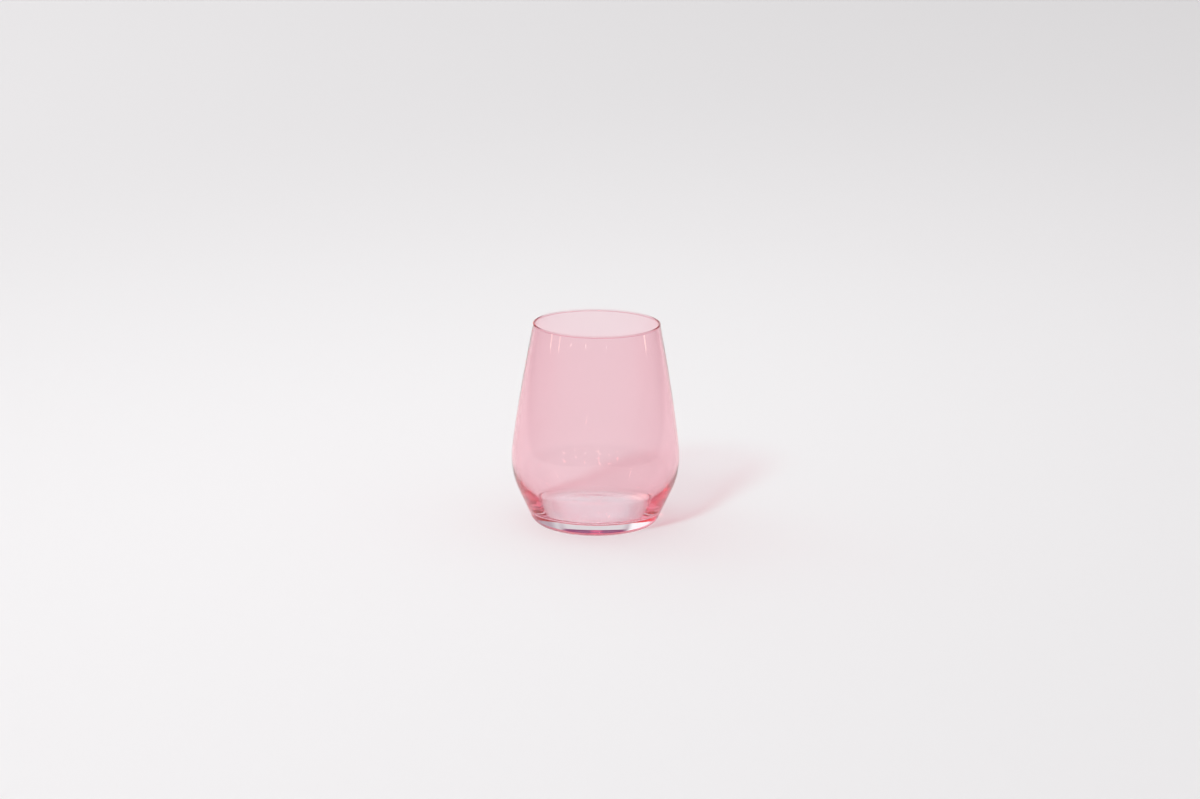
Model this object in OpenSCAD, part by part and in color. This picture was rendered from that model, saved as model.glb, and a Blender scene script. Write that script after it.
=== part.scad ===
// Stemless wine glass in cased glass: a clear bowl and heavy base, a thin pink lining inside,
// and a rim bead that closes both layers. Every piece is a solid of revolution about +Z.
// Millimetres, +Z up, origin at the centre of the base on the table.

/* [Outline] */
// Height from the table to the top of the rim
height = 114; // [104:1:126]
// Outside diameter of the rim
rim_d = 70.8; // [66:0.2:76]
// Outside diameter at the widest point of the belly
belly_d = 94; // [90:0.2:98]
// Height of the widest point of the outside
belly_h = 37.2; // [35:0.2:40]
// Radius of the outline below the widest point
belly_r = 42; // [38:1:48]
// Radius of the outline above the widest point
shoulder_r = 65; // [50:1:80]
// Turn of the shoulder before the long upper wall starts, in degrees
shoulder_turn = 7.3; // [6.5:0.1:8.5]
// Angle of the straight taper above the heel, from the vertical
taper_angle = 24.5; // [22:0.5:27]
// Radius of the rounded heel
heel_r = 7; // [5.4:0.2:8.6]

/* [Cavity] */
// Height of the cavity floor above the table
floor_h = 8.1; // [6.9:0.2:9.7]
// Height of the widest point of the cavity
cavity_h = 36.6; // [35.1:0.5:38.6]
// Thickness of the whole wall at the belly
belly_wall = 1.5; // [1.3:0.1:1.9]
// Thickness of the whole wall under the rim bead
rim_wall = 1; // [0.9:0.05:1.15]
// Radius of the cavity's outline below its widest point
cavity_r = 30.2; // [26.2:1:34.2]
// Angle of the cavity's lower wall, from the vertical
cavity_angle = 31.2; // [28.7:0.5:34.2]
// Radius between the cavity's lower wall and its floor
floor_fillet_r = 4; // [2.5:0.5:6]

/* [Lining] */
// Thickness of the pink lining up the wall
lining_t = 0.4; // [0.25:0.05:0.6]
// Thickness of the pink lining on the cavity floor
floor_lining_t = 0.15; // [0.1:0.05:0.5]

/* [Rim] */
// Radius of the fire-polished bead
bead_r = 0.6; // [0.58:0.02:0.7]

/* [Base] */
// Height at which the heavy base is fused to the bowl wall
base_h = 14; // [12:0.5:17]
// Width of the flat ring that the glass stands on
ring_w = 4; // [3:0.5:6]
// Depth of the shallow hollow inside that ring
punt_depth = 0.8; // [0.4:0.1:1.5]

/* [Hidden] */
$fn = 128;

// Largest turn between two points of a curve, in degrees
curve_step = 3;
// Straight steps along the long upper wall, which turns very little
upper_steps = 10;
// Overrun of the cutting shapes
overrun = 1;

// Middle of the wall under the bead, and the height at which the bead is as wide as that wall
rim_mid = rim_d / 2 - bead_r;
bead_drop = sqrt(bead_r * bead_r - rim_wall * rim_wall / 4);
rim_h = height - bead_r - bead_drop;

// Point at an angle on a circle, measured from the outward radial direction
function on_arc(centre, r, angle) = centre + r * [cos(angle), sin(angle)];

// Points along an arc from one angle to another, without the first of them
function arc(centre, r, from, to) =
    let (steps = ceil(abs(to - from) / curve_step))
    [for (i = [1:steps]) on_arc(centre, r, from + (to - from) * i / steps)];

// Shallow curve that leaves one point along its tangent, given as an angle from the vertical,
// and ends at another point, with its control point at half the height
function sweep_in(start, lean, end) =
    let (half = (end.y - start.y) / 2, control = start + half * [-tan(lean), 1])
    [for (i = [1:upper_steps])
        let (t = i / upper_steps)
        (1 - t) * (1 - t) * start + 2 * (1 - t) * t * control + t * t * end];

// Bowl shape from the edge of its flat bottom up to the rim, shared by the outside and the cavity:
// a rounded corner, a straight taper, the belly, the shoulder and the long upper wall
function bowl_curve(floor_z, corner_r, lean, widest, widest_z, lower_r, upper_r, end) =
    let (
        lower_centre = [widest - lower_r, widest_z],
        taper_top = on_arc(lower_centre, lower_r, -lean),
        corner_z = floor_z + corner_r,
        corner_x = taper_top.x - (taper_top.y - corner_z) * tan(lean) - corner_r / cos(lean),
        corner = [corner_x, corner_z],
        upper_centre = [widest - upper_r, widest_z],
        shoulder_top = on_arc(upper_centre, upper_r, shoulder_turn)
    )
    concat(
        [on_arc(corner, corner_r, -90)],
        arc(corner, corner_r, -90, -lean),
        [taper_top],
        arc(lower_centre, lower_r, -lean, 0),
        arc(upper_centre, upper_r, 0, shoulder_turn),
        sweep_in(shoulder_top, shoulder_turn, end)
    );

// Outside of the glass, from the edge of the standing ring to the bead
outside = bowl_curve(0, heel_r, taper_angle, belly_d / 2, belly_h, belly_r, shoulder_r,
    [rim_mid + rim_wall / 2, rim_h]);

// Cavity, with its wall grown outwards into the glass and its floor sunk: 0 and 0 give the inside of
// the lining, and the lining's two thicknesses give the face where it meets the clear glass
function cavity(grow, sink) = concat(
    [[0, floor_h - sink]],
    bowl_curve(floor_h - sink, floor_fillet_r + grow, cavity_angle, belly_d / 2 - belly_wall + grow,
        cavity_h, cavity_r + grow, shoulder_r + grow, [rim_mid - rim_wall / 2 + grow, rim_h]),
    [[0, rim_h]]
);

// Hollow under the base: a shallow spherical cap inside the standing ring
ring_inner_r = outside[0].x - ring_w;
punt_sphere_r = (ring_inner_r * ring_inner_r + punt_depth * punt_depth) / (2 * punt_depth);

// Section of the clear glass: the outside with the lined cavity and the punt taken out
module clear_section() {
    difference() {
        polygon(concat([[0, 0]], outside, [[0, rim_h]]));
        polygon(cavity(lining_t, floor_lining_t));
        translate([0, punt_depth - punt_sphere_r]) circle(punt_sphere_r, $fn = 720);
    }
}

// Part of a section between two heights
module between(low, high) {
    intersection() {
        children();
        translate([0, low]) square([belly_d, high - low]);
    }
}

// Half-round lip, as wide as the wall where it is fused on
module rim_bead() {
    color("#c97f8d")
    rotate_extrude()
    between(rim_h, height + overrun)
    translate([rim_mid, height - bead_r]) circle(bead_r);
}

// Clear outer layer of the bowl
module bowl_wall() {
    color("#f1eef0", 0.5)
    rotate_extrude()
    between(base_h, rim_h)
    clear_section();
}

// Clear foot with its rounded heel, standing ring and punt
module heavy_base() {
    color("#e6e8ea", 0.6)
    rotate_extrude()
    between(0, base_h)
    clear_section();
}

// Pink inner layer, wall and floor in one
module colour_lining() {
    color("#f0b9c8", 0.8)
    rotate_extrude()
    difference() {
        polygon(cavity(lining_t, floor_lining_t));
        polygon(cavity(0, 0));
    }
}

rim_bead();
bowl_wall();
heavy_base();
colour_lining();
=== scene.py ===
# %% [markdown]
# # A stemless wine glass in cased glass
#
# The real glass is two layers fused while hot: a thin pink gather inside, a clear gather outside.
# The clear gather is thin up the bowl and thick in the base, and the lip is melted round.
# Glass has almost no surface to look at. What the eye sees is the light that bends through it, so this lesson
# spends its care on three things: exact closed shapes, layers that meet without a false gap, and a room worth
# reflecting.

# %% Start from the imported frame
import math

import bmesh
import bpy
import numpy as np
from mathutils import Matrix, Vector


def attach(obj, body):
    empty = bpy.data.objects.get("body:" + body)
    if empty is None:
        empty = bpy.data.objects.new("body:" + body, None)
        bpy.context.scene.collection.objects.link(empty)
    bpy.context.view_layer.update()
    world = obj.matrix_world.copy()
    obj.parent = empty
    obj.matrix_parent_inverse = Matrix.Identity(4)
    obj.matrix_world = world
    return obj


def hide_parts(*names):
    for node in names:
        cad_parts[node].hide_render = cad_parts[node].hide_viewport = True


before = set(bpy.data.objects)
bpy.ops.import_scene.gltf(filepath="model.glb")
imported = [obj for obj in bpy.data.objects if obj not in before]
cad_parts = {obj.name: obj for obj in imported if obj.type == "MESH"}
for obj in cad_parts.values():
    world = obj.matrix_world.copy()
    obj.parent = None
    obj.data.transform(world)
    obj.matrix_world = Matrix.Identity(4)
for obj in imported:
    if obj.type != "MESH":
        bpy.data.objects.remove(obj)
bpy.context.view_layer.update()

# %% [markdown]
# ## The sizes of the glass
#
# One set of driving sizes is enough, because every piece is a solid of revolution about the same axis.
# The pieces could be modelled by eye and scaled to fit, but then the pink layer would not follow the cavity.
# Sizes are in millimetres here, as a mould maker would write them, and turn into metres in one place.

# %% Sizes of the glass
MM = 0.001
HEIGHT = 114 * MM
RIM_D = 70.8 * MM
BELLY_D = 94 * MM
BELLY_H = 37.2 * MM
BELLY_R = 42 * MM
SHOULDER_R = 65 * MM
SHOULDER_TURN = 7.3
TAPER_ANGLE = 24.5
HEEL_R = 7 * MM
FLOOR_H = 8.1 * MM
CAVITY_H = 36.6 * MM
BELLY_WALL = 1.5 * MM
RIM_WALL = 1.0 * MM
CAVITY_R = 30.2 * MM
CAVITY_ANGLE = 31.2
FLOOR_FILLET_R = 4 * MM
LINING_T = 0.4 * MM
FLOOR_LINING_T = 0.15 * MM
BEAD_R = 0.6 * MM
BASE_H = 14 * MM
RING_W = 4 * MM
PUNT_DEPTH = 0.8 * MM

RIM_MID = RIM_D / 2 - BEAD_R
RIM_H = HEIGHT - BEAD_R - math.sqrt(BEAD_R**2 - RIM_WALL**2 / 4)
print(f"Bead starts {RIM_H / MM:.2f} mm up, over a wall {RIM_WALL / MM:.1f} mm thick")

# %% [markdown]
# ## Curves of the section
#
# A turned glass is drawn as half a section: radius across, height up. The outline could be traced point by point,
# but arcs that share tangents are what the mould was cut from, and they give clean reflections.
# Each function below returns a whole array of (radius, height) rows.

# %% Curves of the section
# Turn between two points of an arc in degrees, and the number of steps in the other stretches
CURVE_STEP = 1.0
TAPER_STEPS, UPPER_STEPS, FLOOR_STEPS = 8, 60, 12


def arc(centre, r, start, end):
    """Points centre + r (cos a, sin a) for a from start to end in degrees, without the first of them."""
    count = math.ceil(abs(end - start) / CURVE_STEP)
    a = np.radians(np.linspace(start, end, count + 1)[1:])
    return np.array(centre) + r * np.column_stack([np.cos(a), np.sin(a)])


def sweep_in(start, lean, end):
    """Curve (1-t)^2 P + 2t(1-t) C + t^2 Q from P to Q, whose control point C is half the height up along the
    tangent that leans inwards by the given angle from the vertical. The first point is left out."""
    half = (end[1] - start[1]) / 2
    control = np.array(start) + half * np.array([-math.tan(math.radians(lean)), 1])
    t = np.linspace(0, 1, UPPER_STEPS + 1)[1:, None]
    return (1 - t) ** 2 * np.array(start) + 2 * t * (1 - t) * control + t**2 * np.array(end)


def bowl_curve(floor_z, corner_r, lean, widest, widest_z, lower_r, upper_r, end):
    """Rounded corner, straight taper, belly arc, shoulder arc and long upper wall, each tangent to the last."""
    angle = math.radians(lean)
    lower = (widest - lower_r, widest_z)
    taper_top = (lower[0] + lower_r * math.cos(angle), widest_z - lower_r * math.sin(angle))
    corner_z = floor_z + corner_r
    corner_x = taper_top[0] - (taper_top[1] - corner_z) * math.tan(angle) - corner_r / math.cos(angle)
    upper = (widest - upper_r, widest_z)
    turn = math.radians(SHOULDER_TURN)
    shoulder_top = (upper[0] + upper_r * math.cos(turn), widest_z + upper_r * math.sin(turn))
    corner = arc((corner_x, corner_z), corner_r, -90, -lean)
    taper = np.linspace(corner[-1], taper_top, TAPER_STEPS + 1)[1:]
    return np.vstack([
        [(corner_x, floor_z)],
        corner,
        taper,
        arc(lower, lower_r, -lean, 0),
        arc(upper, upper_r, 0, SHOULDER_TURN),
        sweep_in(shoulder_top, SHOULDER_TURN, end),
    ])


def cavity(grow, sink):
    """The inside of the glass from the axis to the bead, with its wall moved outwards into the glass by one
    distance and its floor moved down by another."""
    curve = bowl_curve(
        FLOOR_H - sink, FLOOR_FILLET_R + grow, CAVITY_ANGLE, BELLY_D / 2 - BELLY_WALL + grow,
        CAVITY_H, CAVITY_R + grow, SHOULDER_R + grow, (RIM_MID - RIM_WALL / 2 + grow, RIM_H),
    )
    floor_r = np.linspace(0, curve[0, 0], FLOOR_STEPS + 1)[:-1]
    return np.vstack([np.column_stack([floor_r, np.full(FLOOR_STEPS, FLOOR_H - sink)]), curve])


def split(curve, height):
    """A rising curve cut in two at a height, with the cut point at the end of one and the start of the other."""
    i = int(np.argmax(curve[:, 1] > height))
    share = (height - curve[i - 1, 1]) / (curve[i, 1] - curve[i - 1, 1])
    cut = curve[i - 1] + share * (curve[i] - curve[i - 1])
    return np.vstack([curve[:i], cut]), np.vstack([cut, curve[i:]])


outside = bowl_curve(
    0, HEEL_R, TAPER_ANGLE, BELLY_D / 2, BELLY_H, BELLY_R, SHOULDER_R, (RIM_MID + RIM_WALL / 2, RIM_H)
)
# The punt is the shallow cap of a large sphere, inside the standing ring
ring_inner = outside[0, 0] - RING_W
punt_r = (ring_inner**2 + PUNT_DEPTH**2) / (2 * PUNT_DEPTH)
punt_half = math.degrees(math.asin(ring_inner / punt_r))
punt = np.vstack([
    [(0, PUNT_DEPTH)],
    arc((0, PUNT_DEPTH - punt_r), punt_r, 90, 90 - punt_half),
])
print(f"Outline of {len(outside)} points, cavity of {len(cavity(0, 0))}, punt ring from "
      f"{ring_inner / MM:.1f} to {outside[0, 0] / MM:.1f} mm radius")

# %% [markdown]
# ## One lathe for every piece
#
# Each piece is a closed section turned about the axis. A Screw or Spin modifier could do it, but a grid worked out
# with numpy lets each stretch of the section keep its own kind of face: bare glass, or the face where two layers
# are fused. A fused face must not bend light, because there is no air in it.
# Points on the axis become one pole vertex, so no hole or sliver is left in the middle.

# %% Turn a section into a closed mesh
AROUND = 192
BARE, FUSED = 0, 1
SHARP_ANGLE = 25
TINY = 1e-7


def weld(mesh):
    """Joins the vertices of each pole into one and removes the flat faces that this leaves."""
    bm = bmesh.new()
    bm.from_mesh(mesh)
    poles = [v for v in bm.verts if math.hypot(v.co.x, v.co.y) < TINY]
    bmesh.ops.remove_doubles(bm, verts=poles, dist=TINY)
    bmesh.ops.dissolve_degenerate(bm, edges=bm.edges, dist=TINY)
    bmesh.ops.recalc_face_normals(bm, faces=bm.faces)
    bm.to_mesh(mesh)
    bm.free()


def lathe(name, stretches):
    """Mesh from stretches of (points, face kind) that follow each other round a section, with the glass on the left
    of the path. Vertex (i, j) is point i at the angle 2 pi j / AROUND: (r cos, r sin, z). A section either closes
    on itself or starts and ends on the axis."""
    section = np.vstack([stretches[0][0]] + [points[1:] for points, _ in stretches[1:]])
    kinds = np.concatenate([np.full(len(points) - 1, kind) for points, kind in stretches])
    closed = np.allclose(section[0], section[-1])
    section = section[:-1] if closed else section
    section[np.abs(section[:, 0]) < TINY, 0] = 0
    turn = 2 * np.pi * np.arange(AROUND) / AROUND
    r, z = section[:, :1], section[:, 1:]
    grid = np.stack([r * np.cos(turn), r * np.sin(turn), np.broadcast_to(z, (len(z), AROUND))], axis=-1)

    # One quad between each point and the next, and between each angle and the next
    here = np.arange(len(kinds))[:, None] * AROUND
    after = np.roll(here, -1, axis=0) if closed else here + AROUND
    near = np.arange(AROUND)
    far = np.roll(near, -1)
    quads = np.stack([here + near, here + far, after + far, after + near], axis=-1)

    mesh = bpy.data.meshes.new(name)
    mesh.from_pydata(grid.reshape(-1, 3), [], quads.reshape(-1, 4).tolist())
    mesh.polygons.foreach_set("material_index", np.repeat(kinds, AROUND).astype(np.int32))
    piece = bpy.data.objects.new(name, mesh)
    bpy.context.scene.collection.objects.link(piece)
    weld(mesh)
    mesh.polygons.foreach_set("use_smooth", np.ones(len(mesh.polygons), dtype=bool))
    mesh.set_sharp_from_angle(angle=math.radians(SHARP_ANGLE))
    mesh.validate()
    print(f"{name}: {len(mesh.vertices)} vertices, {len(mesh.polygons)} faces")
    return piece


# %% [markdown]
# ## Nodes and colours
#
# Every material, the floor's and the room's too, is a small tree of nodes. They could be drawn by hand in the shader
# editor, but written out they can use the same sizes as the meshes. One function adds a node, and one mask serves
# every pattern: it rises smoothly where each of some values has passed its limit.

# %% Helpers for materials
def linear(code):
    """Linear colour from an sRGB hex code."""
    parts = np.array([int(code[i:i + 2], 16) for i in (1, 3, 5)]) / 255
    return (*np.where(parts <= 0.04045, parts / 12.92, ((parts + 0.055) / 1.055) ** 2.4), 1.0)


def add(tree, kind, inputs=(), **properties):
    """Adds a node and sets its properties. Each input is a pair of a socket, by name or number, and what goes into
    it: the output of another node is linked, and a plain value is set."""
    node = tree.nodes.new(kind)
    for name, value in properties.items():
        setattr(node, name, value)
    for socket, value in inputs:
        if isinstance(value, bpy.types.NodeSocket):
            tree.links.new(node.inputs[socket], value)
        else:
            node.inputs[socket].default_value = value
    return node


def new_material(name):
    """An empty material and its tree of nodes."""
    material = bpy.data.materials.new(name)
    material.use_nodes = True
    material.node_tree.nodes.clear()
    return material, material.node_tree


def where_all(tree, limits):
    """A mask from (value, low, high) rows: the product of smooth steps, each of them 0 at low and 1 at high."""
    steps = [
        add(tree, "ShaderNodeMapRange", [("Value", value), ("From Min", low), ("From Max", high)],
            interpolation_type="SMOOTHSTEP", clamp=True).outputs["Result"]
        for value, low, high in limits
    ]
    mask = steps[0]
    for step in steps[1:]:
        mask = add(tree, "ShaderNodeMath", [(0, mask), (1, step)], operation="MULTIPLY").outputs[0]
    return mask


print("White paper as linear light:", [round(float(v), 3) for v in linear("#F2F0F1")[:3]])

# %% [markdown]
# ## The skin of the glass
#
# A glass that was blown and fire-polished is as smooth as a liquid, but not perfectly even. Turning it in the mould
# leaves waves, which show as faint upright stripes, and where the thick part of the wall met the cold mould it has
# small crinkles. Both could be modelled, but they are far finer than the mesh, so they are bump. The noise is worked
# out round the axis, so that the stripes run up the wall and both faces of the wall bend light together.
# In the photograph the crinkles show in the thick wedge at each side, so they fade out towards the front and back.

# %% Waves and crinkles
# Index of soda-lime glass
GLASS_IOR = 1.52
# Waves: about 5 mm wide round the belly, most of the wall tall, and under a hundredth of a millimetre high
WAVE_WIDE, WAVE_TALL, WAVE = 5.2 * MM, 83 * MM, 0.008 * MM
# Crinkles: a third of a millimetre wide on a real glass. That is too fine to show in the render, so they are drawn
# five times coarser
COARSER = 5
CRINKLE_WIDE, CRINKLE_TALL, CRINKLE = 0.32 * MM * COARSER, 0.76 * MM * COARSER, 0.10 * MM
# Heights between which the crinkles come and go, and the share of the radius that lies to the side
CRINKLES_COME = (8.6 * MM, 12.6 * MM)
CRINKLES_GO = (32 * MM, 22 * MM)
CRINKLED_SIDE = (0.80, 0.95)


def turned_noise(tree, way_out, place, wide, tall):
    """Noise on a turned surface, with spots of a given width round the belly and a given height. Its place is
    (cos a, sin a, z wide / (tall R)) R / wide with the belly's radius R, the same at every radius."""
    belly = BELLY_D / 2
    stretch = (0, 0, wide / (tall * belly))
    rise = add(tree, "ShaderNodeVectorMath", [(0, place), (1, stretch)], operation="MULTIPLY").outputs[0]
    both = add(tree, "ShaderNodeVectorMath", [(0, way_out), (1, rise)], operation="ADD").outputs[0]
    noise = add(tree, "ShaderNodeTexNoise", [("Vector", both), ("Scale", belly / wide), ("Detail", 1.0)])
    return noise.outputs["Fac"]


def bare_glass(tree):
    """Polished soda-lime glass with waves and crinkles. The way out from the axis is (cos a, sin a, 0)."""
    place = add(tree, "ShaderNodeTexCoord").outputs["Object"]
    level = add(tree, "ShaderNodeVectorMath", [(0, place), (1, (1, 1, 0))], operation="MULTIPLY").outputs[0]
    way_out = add(tree, "ShaderNodeVectorMath", [(0, level)], operation="NORMALIZE").outputs[0]
    across = add(tree, "ShaderNodeSeparateXYZ", [("Vector", way_out)]).outputs["X"]
    side = add(tree, "ShaderNodeMath", [(0, across)], operation="ABSOLUTE").outputs[0]
    height = add(tree, "ShaderNodeSeparateXYZ", [("Vector", place)]).outputs["Z"]
    mask = where_all(tree, [(height, *CRINKLES_COME), (height, *CRINKLES_GO), (side, *CRINKLED_SIDE)])

    waves = turned_noise(tree, way_out, place, WAVE_WIDE, WAVE_TALL)
    skin = add(tree, "ShaderNodeBump", [("Strength", 1.0), ("Distance", WAVE), ("Height", waves)]).outputs[0]
    noise = turned_noise(tree, way_out, place, CRINKLE_WIDE, CRINKLE_TALL)
    crinkles = add(tree, "ShaderNodeMath", [(0, noise), (1, mask)], operation="MULTIPLY").outputs[0]
    skin = add(tree, "ShaderNodeBump", [
        ("Strength", 1.0), ("Distance", CRINKLE), ("Height", crinkles), ("Normal", skin)]).outputs[0]
    glass = add(tree, "ShaderNodeBsdfPrincipled", [
        ("Base Color", (1, 1, 1, 1)), ("Metallic", 0.0), ("Roughness", 0.0), ("IOR", GLASS_IOR),
        ("Transmission Weight", 1.0), ("Normal", skin)])
    return glass.outputs[0]


print(f"Waves {WAVE_WIDE / MM:.1f} mm wide, crinkles {CRINKLE_WIDE / MM:.1f} mm wide and at most "
      f"{CRINKLES_GO[0] / MM:.0f} mm up")

# %% [markdown]
# ## Glass, clear and pink
#
# Soda-lime glass has an index of about 1.52 and is colourless in a thin wall. The pink layer is the same glass with
# a colouring metal in it, so its colour lives in the depth and not on the surface. A tinted surface would give the
# same pink everywhere. Absorption inside the layer makes it deepen where light runs along the layer, as it does
# at the rim and in the streaks low on each side.
#
# - `polished_clear_glass`: clear soda-lime glass, blown in a turning mould and fire-polished. Index 1.52, no metal,
#   no roughness: the eye gets sharp reflections and no colour of its own.
# - `fused_glass_joint`: the same glass where two layers are melted together. It has no air in it, so it bends
#   nothing and the eye gets nothing from it.
# - `rose_pink_glass`: soda-lime glass coloured pink through and through, blown as the inner gather. The eye gets a
#   soft even pink face on, and coral where light has a long way through it.
# - `fire_polished_rim_glass`: both layers melted into one round lip, so it holds less colour for its size. The eye
#   gets a thin line round the mouth, darkest at its two ends.
#
# A path tracer finds the light that a glass gathers on the table only by luck, as bright grains. So rays that carry
# light to the floor pass straight through the glass, tinted and a little weaker.

# %% Glass materials
# Share of light that one bare surface lets through on the way to the floor
PASS = (0.950, 0.978, 0.972)
ROSE = "#FC5C94"
# How strongly a metre of the coloured glass takes light away
LINING_DENSITY, RIM_DENSITY = 540.0, 300.0


def seen_surface(tree):
    """Bare glass for the eye, and a plain see-through surface for rays that carry light to the floor."""
    rays = add(tree, "ShaderNodeLightPath")
    carries = add(tree, "ShaderNodeMath", [
        (0, rays.outputs["Is Shadow Ray"]), (1, rays.outputs["Is Diffuse Ray"])], operation="MAXIMUM")
    clear = add(tree, "ShaderNodeBsdfTransparent", [("Color", (*PASS, 1))])
    mixed = add(tree, "ShaderNodeMixShader", [(0, carries.outputs[0]), (1, bare_glass(tree)), (2, clear.outputs[0])])
    return mixed.outputs[0]


def coloured_glass(name, colour, density):
    """Glass that takes light away by depth. One material covers the whole closed piece, because a volume begins and
    ends at its own material, and the face attribute "fused" says where its surface bends nothing."""
    material, tree = new_material(name)
    fused = add(tree, "ShaderNodeAttribute", attribute_type="GEOMETRY", attribute_name="fused")
    clear = add(tree, "ShaderNodeBsdfTransparent", [("Color", (1, 1, 1, 1))])
    surface = add(tree, "ShaderNodeMixShader", [
        (0, fused.outputs["Fac"]), (1, seen_surface(tree)), (2, clear.outputs[0])])
    depth = add(tree, "ShaderNodeVolumeAbsorption", [("Color", linear(colour)), ("Density", density)])
    add(tree, "ShaderNodeOutputMaterial", [("Surface", surface.outputs[0]), ("Volume", depth.outputs[0])])
    return material


CLEAR, tree = new_material("polished_clear_glass")
add(tree, "ShaderNodeOutputMaterial", [("Surface", seen_surface(tree))])

JOINT, tree = new_material("fused_glass_joint")
through = add(tree, "ShaderNodeBsdfTransparent", [("Color", (1, 1, 1, 1))])
add(tree, "ShaderNodeOutputMaterial", [("Surface", through.outputs[0])])

PINK = coloured_glass("rose_pink_glass", ROSE, LINING_DENSITY)
RIM_PINK = coloured_glass("fire_polished_rim_glass", ROSE, RIM_DENSITY)
print("Materials:", ", ".join(m.name for m in (CLEAR, JOINT, PINK, RIM_PINK)))

# %% [markdown]
# ## How the pieces meet
#
# The seat in the clear glass stands off the pink lining by a hundredth of a millimetre. Two faces in exactly the same
# place would make a ray tracer choose between them at random, and the gap costs nothing, because neither face
# bends light.

# %% The seat and where it is cut
HAIR = 0.01 * MM
seat = cavity(LINING_T + HAIR, FLOOR_LINING_T + HAIR)
seat_low, seat_high = split(seat, BASE_H)
outside_low, outside_high = split(outside, BASE_H)
print(f"The clear layer is cut {BASE_H / MM:.0f} mm up, at a radius of {outside_low[-1, 0] / MM:.1f} mm")

# %% [markdown]
# ## The heavy base
#
# A thick clear foot with a rounded heel, a flat ring to stand on and a shallow punt inside it. It could be one piece
# with the bowl wall, as the eye can't tell them apart, but in the glasshouse the foot is its own gather and in the
# library it is its own part. The path runs along the punt, the ring, the heel and the outside, then across the cut
# and back down the seat of the lining.

# %% The heavy base
RING_POINTS, CUT_POINTS = 4, 6
heavy_base = lathe("heavy_base_glass", [
    (punt, BARE),
    (np.linspace(punt[-1], outside_low[0], RING_POINTS), BARE),
    (outside_low, BARE),
    (np.linspace(outside_low[-1], seat_low[-1], CUT_POINTS), FUSED),
    (seat_low[::-1], FUSED),
])

# %% [markdown]
# ## The bowl wall
#
# The same clear layer above the cut. It is about 1 mm thick up the side and grows to several where it meets the
# base. Its top end is only 0.6 mm wide, because the lining takes the rest of the wall.

# %% The bowl wall
bowl_wall = lathe("bowl_wall_glass", [
    (outside_high, BARE),
    (np.array([outside_high[-1], seat_high[-1]]), FUSED),
    (seat_high[::-1], FUSED),
    (np.linspace(seat_high[0], outside_high[0], CUT_POINTS), FUSED),
])

# %% [markdown]
# ## The pink lining
#
# It follows the cavity, 0.4 mm thick up the wall and thinner on the floor, where the blown gather stretches most.
# A colour painted on the inside of a clear bowl would look right from the front and wrong at every edge. As a layer
# with a real thickness it deepens by itself wherever it is seen at a slant.

# %% The pink lining
inner, outer = cavity(0, 0), cavity(LINING_T, FLOOR_LINING_T)
colour_lining = lathe("colour_lining_glass", [
    (outer, FUSED),
    (np.array([outer[-1], inner[-1]]), FUSED),
    (inner[::-1], BARE),
])

# %% [markdown]
# ## The rim bead
#
# Fire-polishing melts the cut lip until surface tension rounds it. A bevel would round the two corners and leave a
# flat top, so the bead is the larger part of a circle, a little wider than the wall under it. Its ends stop a hair
# above the wall.

# %% The rim bead
BEAD_POINTS = 40
# The bead's circle meets the wall at this angle below its middle
bead_foot = math.acos(RIM_WALL / 2 / BEAD_R)
bead_turn = np.linspace(-bead_foot, math.pi + bead_foot, BEAD_POINTS)
bead_arc = np.array([RIM_MID, HEIGHT - BEAD_R]) + BEAD_R * np.column_stack([np.cos(bead_turn), np.sin(bead_turn)])
bead_arc[[0, -1], 1] += HAIR
rim_bead = lathe("rim_bead_glass", [
    (bead_arc, BARE),
    (np.array([bead_arc[-1], bead_arc[0]]), FUSED),
])

# %% [markdown]
# ## Pieces in the frame
#
# Each piece rides on the one body of the record and stands in for its plain counterpart.
# The clear pieces can carry two materials, one for bare faces and one for fused faces. The pink pieces carry one,
# because their colour is a volume.

# %% Dress the pieces and put them in the frame
def mark_fused(piece):
    """Keeps each face's kind as the attribute that the coloured glass reads, and leaves one material."""
    mesh = piece.data
    kinds = np.zeros(len(mesh.polygons), dtype=np.int32)
    mesh.polygons.foreach_get("material_index", kinds)
    mesh.attributes.new("fused", "FLOAT", "FACE").data.foreach_set("value", kinds.astype(np.float32))
    mesh.polygons.foreach_set("material_index", np.zeros_like(kinds))


for piece, node, slot in (
    (heavy_base, "heavy_base", "base_glass"),
    (bowl_wall, "bowl_wall", "clear_glass"),
    (colour_lining, "colour_lining", "pink_glass"),
    (rim_bead, "rim_bead", "rim_glass"),
):
    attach(piece, "root")
    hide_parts(node)

for piece in (heavy_base, bowl_wall):
    piece.data.materials.append(CLEAR)
    piece.data.materials.append(JOINT)
for piece, material in ((colour_lining, PINK), (rim_bead, RIM_PINK)):
    piece.data.materials.append(material)
    mark_fused(piece)
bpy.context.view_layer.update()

# %% [markdown]
# ## Floor
#
# A roll of white paper on a grey table. The camera sees only paper. The glass also mirrors the table beside the
# paper, and that is why its wall is a little darker between two light strips at its edges. A second object could
# make the table, but one disc with two colours keeps the surface flat under the shadow. Paper is matt, so it
# needs no gloss, and it stays plain so that nothing competes with the glass.

# %% Floor
FLOOR_R, FLOOR_SIDES = 12.0, 128
# Uncoated background paper: a matt white that sends back nine tenths of the light and has no highlight
PAPER = "#F2F0F1"
TABLE = (0.44, 0.42, 0.44)
# Half the paper's width in metres level with the glass, how much it widens with each metre towards the back, and
# over what width it gives way to the table
PAPER_HALF, PAPER_WIDENS, PAPER_EDGE = 0.42, 0.25, 0.15
COLOUR_A, COLOUR_B, COLOUR_OUT = 6, 7, 2


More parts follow.
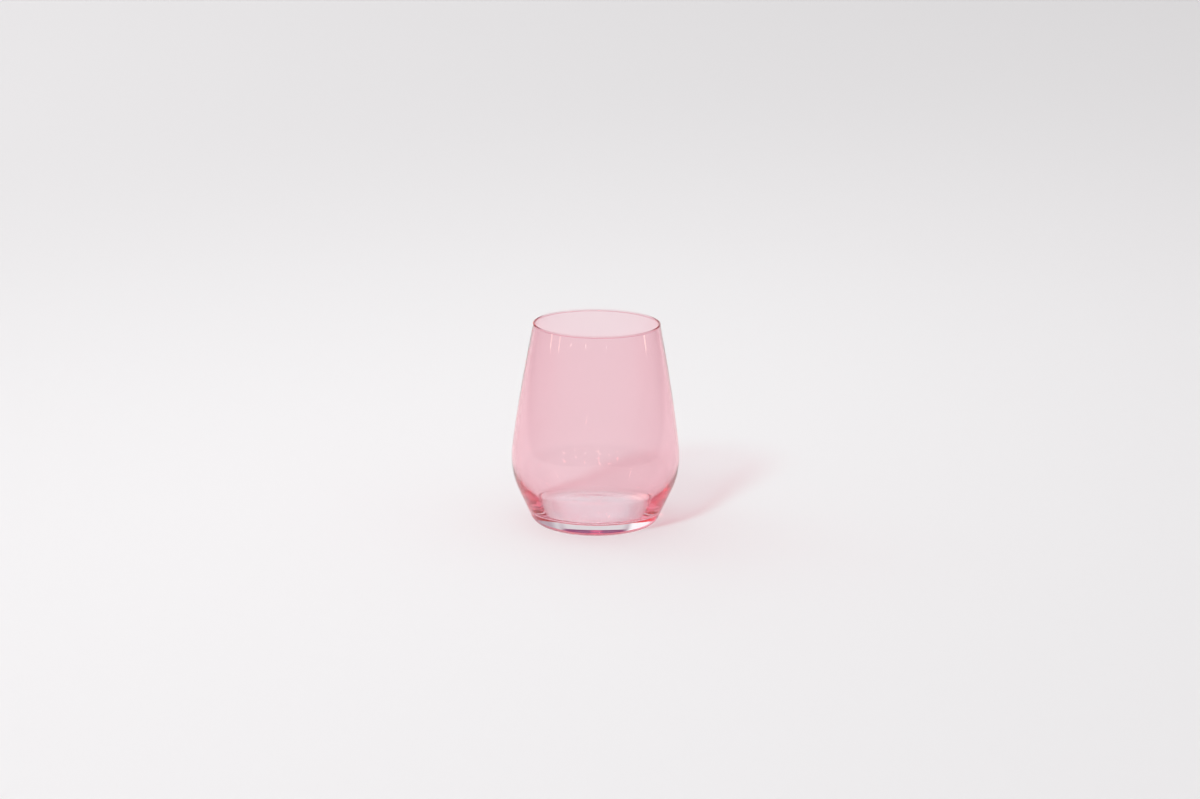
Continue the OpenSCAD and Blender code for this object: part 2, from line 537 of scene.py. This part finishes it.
def lay_over(tree, below, colour, limits):
    """One colour laid over another where all the limits hold."""
    mixed = add(tree, "ShaderNodeMix", data_type="RGBA", inputs=[
        ("Factor", where_all(tree, limits)), (COLOUR_A, below), (COLOUR_B, (*colour, 1))])
    return mixed.outputs[COLOUR_OUT]


bpy.ops.mesh.primitive_circle_add(vertices=FLOOR_SIDES, radius=FLOOR_R, fill_type="NGON")
floor = bpy.context.object
floor.name = "studio_floor"
floor_material, tree = new_material("white_paper_sweep")
place = add(tree, "ShaderNodeSeparateXYZ", [("Vector", add(tree, "ShaderNodeTexCoord").outputs["Object"])])
aside = add(tree, "ShaderNodeMath", [(0, place.outputs["X"])], operation="ABSOLUTE")
off_middle = add(tree, "ShaderNodeMath", operation="MULTIPLY_ADD", inputs=[
    (0, place.outputs["Y"]), (1, -PAPER_WIDENS), (2, aside.outputs[0])])
seen = add(tree, "ShaderNodeLightPath").outputs["Is Camera Ray"]
ground = lay_over(tree, linear(PAPER), TABLE, [
    (off_middle.outputs[0], PAPER_HALF, PAPER_HALF + PAPER_EDGE), (seen, 1.0, 0.0)])
matt = add(tree, "ShaderNodeBsdfDiffuse", [("Color", ground)])
add(tree, "ShaderNodeOutputMaterial", [("Surface", matt.outputs[0])])
floor.data.materials.append(floor_material)
print(f"Paper {2 * PAPER_HALF:.2f} m wide on a floor of {FLOOR_R:.0f} m radius")

# %% [markdown]
# ## Room
#
# Glass shows the room more than it shows itself, so the room is drawn on the world as soft zones, by direction.
# Photographs of a room would do the same with less control. Straight behind, low down, the sweep turns greyer.
# Above it a mauve zone with a small coral one in it becomes the streak in the clear band of the base, turned over by
# the heel, which works as a lens. A pale window stands back left, a dusky corner back right, and the side of the
# room where the camera stands is dim. Light for the floor comes from one plain level, so the zones leave no stains.

# %% World
BACK, UP = (0, 1, 0), (0, 0, 1)
ROOM = (0.86, 0.86, 0.87)
EVEN = (0.60, 0.60, 0.60)
# Each zone has a colour, and rows of a direction and how far a ray must agree with it for none and for all of that
# colour: 1 is the same direction, 0 is at right angles and -1 is opposite. A later zone lies over an earlier one
ZONES = {
    "side walls": ((0.44, 0.30, 0.32), [(BACK, 0.70, 0.40), (UP, 0.40, 0.20)]),
    "camera's side": ((0.46, 0.45, 0.46), [(BACK, -0.1, -0.6)]),
    "grey sweep": ((0.74, 0.68, 0.71), [(BACK, 0.2, 0.6), (UP, 0.34, 0.26)]),
    "mauve zone": ((0.24, 0.02, 0.13), [((0, 1, 0.42), 0.893, 0.955), (UP, 0.25, 0.29)]),
    "coral zone": ((0.85, 0.08, 0.24), [((-0.02, 1, 0.40), 0.996, 0.999)]),
    "window": ((1.05, 1.0, 1.04), [((-0.68, 0.66, 0.36), 0.92, 0.96)]),
    "dusky corner": ((0.40, 0.31, 0.37), [((0.75, 0.45, 0.42), 0.82, 0.93)]),
}

world = bpy.data.worlds.new("studio_room")
bpy.context.scene.world = world
world.use_nodes = True
tree = world.node_tree
tree.nodes.clear()
ways = add(tree, "ShaderNodeTexCoord").outputs["Generated"]
colour = (*ROOM, 1)
for zone_colour, rows in ZONES.values():
    limits = []
    for direction, none, full in rows:
        agrees = add(tree, "ShaderNodeVectorMath", operation="DOT_PRODUCT", inputs=[
            (0, ways), (1, Vector(direction).normalized())])
        limits.append((agrees.outputs["Value"], none, full))
    colour = lay_over(tree, colour, zone_colour, limits)
room = add(tree, "ShaderNodeBackground", [("Color", colour), ("Strength", 1.0)])
even = add(tree, "ShaderNodeBackground", [("Color", (*EVEN, 1)), ("Strength", 1.0)])
lights_floor = add(tree, "ShaderNodeLightPath").outputs["Is Diffuse Ray"]
both = add(tree, "ShaderNodeMixShader", [(0, lights_floor), (1, room.outputs[0]), (2, even.outputs[0])])
add(tree, "ShaderNodeOutputWorld", [("Surface", both.outputs[0])])
print("Room zones:", ", ".join(ZONES))

# %% [markdown]
# ## Soft boxes
#
# One soft box from the front left throws the shadow back and to the right. Its middle is brighter, which keeps the
# paper round the glass lighter than the far corners. Two weaker boxes keep the left and the far paper light. All are
# left out of reflections, because in the photograph no box shows in the glass.

# %% Soft boxes
def face(lamp, place, aim):
    """Puts a lamp at a place and turns it to a point."""
    way = Vector(aim) - Vector(place)
    lamp.matrix_world = Matrix.Translation(place) @ way.to_track_quat("-Z", "Y").to_matrix().to_4x4()


def soft_lamp(name, place, aim, width, height, power, colour="#FFFFFF"):
    """A rectangular soft box."""
    light = bpy.data.lights.new(name, "AREA")
    light.shape = "RECTANGLE"
    light.size = width
    light.size_y = height
    light.energy = power
    light.color = linear(colour)[:3]
    lamp = bpy.data.objects.new(name, light)
    bpy.context.scene.collection.objects.link(lamp)
    face(lamp, place, aim)
    return lamp


def soft_spot(name, place, aim, reach, power, blend, soft, colour=(1, 1, 1)):
    """A spot whose cone has the given reach as its radius at the point that it faces."""
    light = bpy.data.lights.new(name, "SPOT")
    light.energy = power
    light.color = colour
    light.spot_size = 2 * math.atan(reach / (Vector(aim) - Vector(place)).length)
    light.spot_blend = blend
    light.shadow_soft_size = soft
    lamp = bpy.data.objects.new(name, light)
    bpy.context.scene.collection.objects.link(lamp)
    face(lamp, place, aim)
    return lamp


KEY_PLACE = (-2.29, -4.14, 3.69)
KEY_SIZE, KEY_POWER, HEART_POWER = 0.9, 112.0, 330.0
SIDE_SIZE, SIDE_POWER = 2.0, 15.0
BACK_SIZE, BACK_POWER = 2.5, 22.0
boxes = (
    soft_lamp("key_box", KEY_PLACE, (0, 0, 0), KEY_SIZE, KEY_SIZE, KEY_POWER),
    soft_lamp("side_fill", (-2.4, 1.2, 2.2), (0, 0, 0), SIDE_SIZE, SIDE_SIZE, SIDE_POWER),
    soft_lamp("back_fill", (-1.6, 4.3, 2.6), (-0.2, 2.4, 0), BACK_SIZE, BACK_SIZE, BACK_POWER),
    soft_spot("key_heart", KEY_PLACE, (-0.06, 0.22, 0), 0.70, HEART_POWER, 1.0, KEY_SIZE / 2),
)
for lamp in boxes:
    lamp.visible_glossy = False
    lamp.visible_transmission = False
print(f"Key light {Vector(KEY_PLACE).length:.1f} m away, {len(boxes)} soft lamps")

# %% [markdown]
# ## Light that the glass gathers
#
# A real bowl throws a pool of light under its foot, a faint spill round it, and a coral patch on the side away from
# the key light. As light passes straight through this glass, three narrow spots add them, each straight above its
# place. Their light is cyan or coral at the source, because it still has to pass the pink layer.

# %% Light that the glass gathers
POOL_POWER, SPILL_POWER, THROWN_POWER = 235.0, 420.0, 48.0
POOL_TINT, SPILL_TINT, THROWN_TINT = (0.30, 0.95, 0.87), (0.60, 1.0, 1.0), (1.0, 0.62, 0.50)
# Name, place on the floor, height above it, radius of the cone there, power, blend, softness and colour
for name, (x, y), above, reach, power, blend, soft, tint in (
    ("gathered_light", (0, 0), 3.0, 32 * MM, POOL_POWER, 0.7, 0.004, POOL_TINT),
    ("spilled_light", (0, 0), 4.0, 90 * MM, SPILL_POWER, 1.0, 0.8, SPILL_TINT),
    ("thrown_light", (29 * MM, 12 * MM), 1.2, 11 * MM, THROWN_POWER, 1.0, 0.002, THROWN_TINT),
):
    soft_spot(name, (x, y, above), (x, y, 0), reach, power, blend, soft, tint)
    print(f"{name}: {reach / MM:.0f} mm round ({x / MM:.0f}, {y / MM:.0f}) mm")

# %% [markdown]
# ## Far lamps
#
# Ceiling lamps far off in the room show only as reflections: short streaks under the rim and bright points at the
# belly. They could be painted on the room, but small lamps are found more surely by the renderer.
# Where the section of the glass is straight, it draws a lamp out into an upright streak. So a lamp that has to show
# as a point there is low and wide.

# %% Far lamps
FAR, EYE_LEVEL = 4.0, 0.1
LAMP_COLOUR = "#FFE9D2"
SPARK, DOT = 7.0, 2.0
# Azimuth from the camera's side and elevation in degrees, width and height in metres, and brightness
STREAKS = (
    (-86, 3.6, 0.18, 0.12, 0.8), (-68, 5.7, 0.12, 0.10, 0.7), (-45, 7.7, 0.10, 0.03, 1.3),
    (-19, 9.0, 0.10, 0.025, 1.3), (17, 9.0, 0.10, 0.02, 1.2), (93, 2.7, 0.18, 0.14, 0.8),
)
POINTS = (
    (49, 13.4, 0.18, 0.18, DOT), (30, 12.0, 0.14, 0.14, DOT), (16, 20.5, 0.18, 0.18, DOT),
    (-4, 16.0, 0.20, 0.16, DOT), (-7, 22.3, 0.20, 0.20, DOT), (-22, 21.7, 0.16, 0.16, DOT),
    (-33, 13.3, 0.14, 0.14, DOT), (77, 35.3, 0.22, 0.011, DOT), (-70, 37.3, 0.22, 0.011, DOT),
    (-11, 46.3, 0.26, 0.011, DOT), (20, 59.0, 0.22, 0.025, DOT),
)
for i, (azimuth, elevation, wide, tall, bright) in enumerate(STREAKS + POINTS):
    a, e = math.radians(azimuth), math.radians(elevation)
    way = Vector((math.sin(a) * math.cos(e), -math.cos(a) * math.cos(e), math.sin(e)))
    aim = Vector((0, 0, EYE_LEVEL))
    power = bright * SPARK * math.pi * wide * tall
    lamp = soft_lamp(f"far_lamp_{i + 1}", aim + FAR * way, aim, wide, tall, power, LAMP_COLOUR)
    lamp.visible_diffuse = False
print(f"{len(STREAKS)} lamps for streaks and {len(POINTS)} for points")

# %% [markdown]
# ## Camera
#
# A camera could be placed by eye, but then no outline would ever lie on the photograph's. This one was fitted to the
# outline: an 85 mm lens, 1.6 m away and 16.6 degrees up, turned a little about its own axis.

# %% Camera
CAMERA_BACK = 1532.4 * MM
CAMERA_UP = 456.4 * MM
PITCH, YAW, ROLL = 14.147, 0.082, 0.6
LENS, SENSOR, FAR_CLIP = 85, 36, 100
camera_data = bpy.data.cameras.new("camera")
camera_data.lens = LENS
camera_data.sensor_width = SENSOR
camera_data.clip_end = FAR_CLIP
camera = bpy.data.objects.new("camera", camera_data)
bpy.context.scene.collection.objects.link(camera)
camera.matrix_world = (
    Matrix.Translation((0, -CAMERA_BACK, CAMERA_UP))
    @ Matrix.Rotation(math.radians(-YAW), 4, "Z")
    @ Matrix.Rotation(math.radians(90 - PITCH), 4, "X")
    @ Matrix.Rotation(math.radians(ROLL), 4, "Z")
)
scene = bpy.context.scene
scene.camera = camera
scene.view_settings.view_transform = "Standard"
print(f"Camera {math.hypot(CAMERA_BACK, CAMERA_UP):.2f} m away, {math.degrees(math.atan2(CAMERA_UP, CAMERA_BACK)):.1f} "
      "degrees up")

# %% [markdown]
# ## Light paths
#
# Light is turned round inside the base and the bead many times. With few bounces those places go black, so the
# limits are high. They cost little, as most paths leave early.

# %% Light paths
BOUNCES, CLEAR_FACES = 128, 1024
scene.cycles.max_bounces = BOUNCES
scene.cycles.transmission_bounces = BOUNCES
scene.cycles.glossy_bounces = BOUNCES
scene.cycles.transparent_max_bounces = CLEAR_FACES
print(f"Up to {BOUNCES} bounces and {CLEAR_FACES} clear faces for each path")
